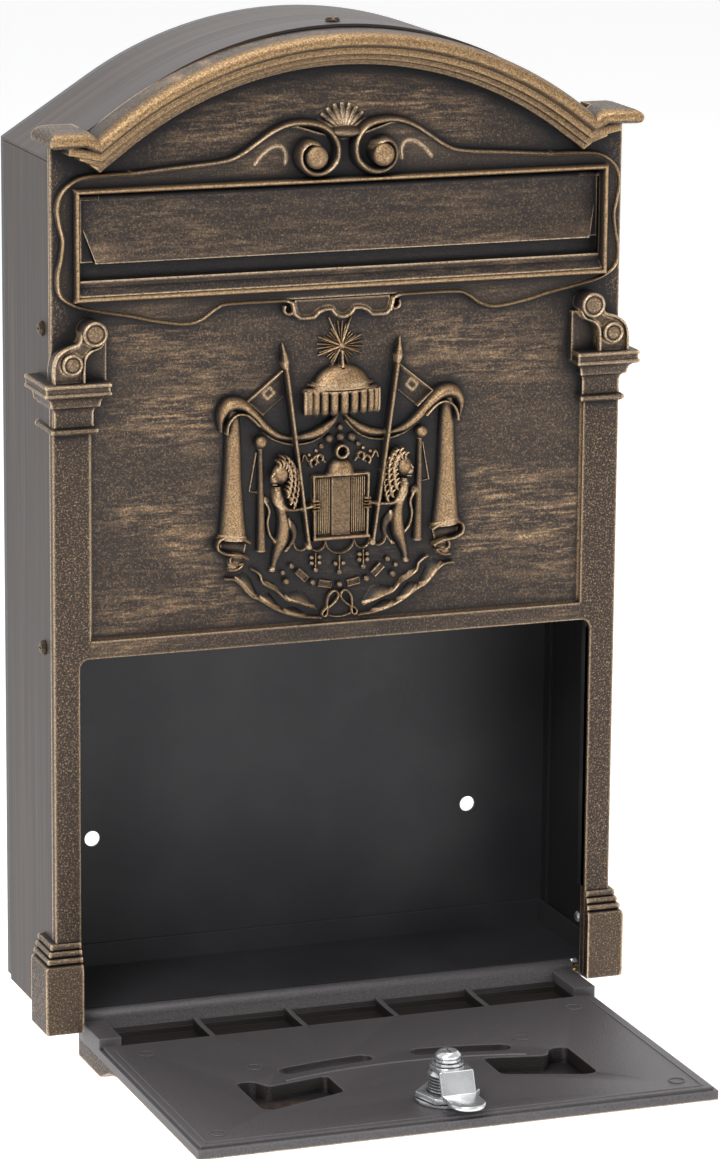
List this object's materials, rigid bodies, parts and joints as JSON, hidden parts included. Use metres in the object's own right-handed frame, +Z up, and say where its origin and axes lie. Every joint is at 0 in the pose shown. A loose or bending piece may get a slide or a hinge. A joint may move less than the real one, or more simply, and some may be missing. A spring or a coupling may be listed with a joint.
{
  "type": "wall mounted mailbox",
  "caption": "Arched wall mailbox with a cast ornamental face, hinged letter flap and a drop-down lower door with a cam lock.",
  "frame": {"origin": "middle of the pattern of four wall screw holes, on the rear face of the back panel, where it lies on the wall", "axes": "+X to the right seen from the front, +Y into the wall, +Z up"},
  "size_m": [0.2554, 0.2215, 0.4255],
  "materials": {
    "bronze_cast": "cast, with textured dark lacquer and rubbed bronze edges",
    "bronze_sheet": "brushed dark bronze lacquer",
    "charcoal_coat": "satin charcoal powder coat",
    "bright_zinc": "bright zinc plate",
    "dark_screw": "bronzed steel",
    "brass_pin": "plain brass"
  },
  "bodies": {
    "cabinet": {"face_casting": "bronze_cast", "side_wall_left": "bronze_sheet", "side_wall_right": "bronze_sheet", "roof_sheet": "bronze_sheet", "back_panel": "charcoal_coat", "floor_panel": "charcoal_coat", "flap_rod": "bright_zinc", "door_pin_left": "brass_pin", "door_pin_right": "brass_pin", "side_screw_left_upper": "dark_screw", "side_screw_left_lower": "dark_screw", "side_screw_right_upper": "dark_screw", "side_screw_right_lower": "dark_screw", "roof_screw": "dark_screw", "jamb_rivet_left": "bright_zinc", "jamb_rivet_right": "bright_zinc"},
    "flap": {"letter_flap": "bronze_cast"},
    "door": {"door_leaf": "bronze_cast", "lock_barrel": "bright_zinc", "lock_washer": "bright_zinc", "lock_nut": "bright_zinc"},
    "lock": {"lock_plug": "bright_zinc", "lock_cam": "bright_zinc", "cam_washer": "bright_zinc", "cam_spring_washer": "bright_zinc", "cam_screw": "bright_zinc"}
  },
  "joints": [
    {"name": "flap_hinge", "type": "hinge", "parent": "cabinet", "child": "flap", "pos_m": [0, -0.0688, 0.1613], "axis": [-1, 0, 0], "range_deg": [0, 70]},
    {"name": "door_hinge", "type": "hinge", "parent": "cabinet", "child": "door", "pos_m": [0, -0.0605, -0.18125], "axis": [-1, 0, 0], "range_deg": [0, 90]},
    {"name": "lock_turn", "type": "hinge", "parent": "door", "child": "lock", "pos_m": [0.002, -0.1928, -0.1855], "axis": [0, 0, 1], "range_deg": [0, 90]}
  ]
}
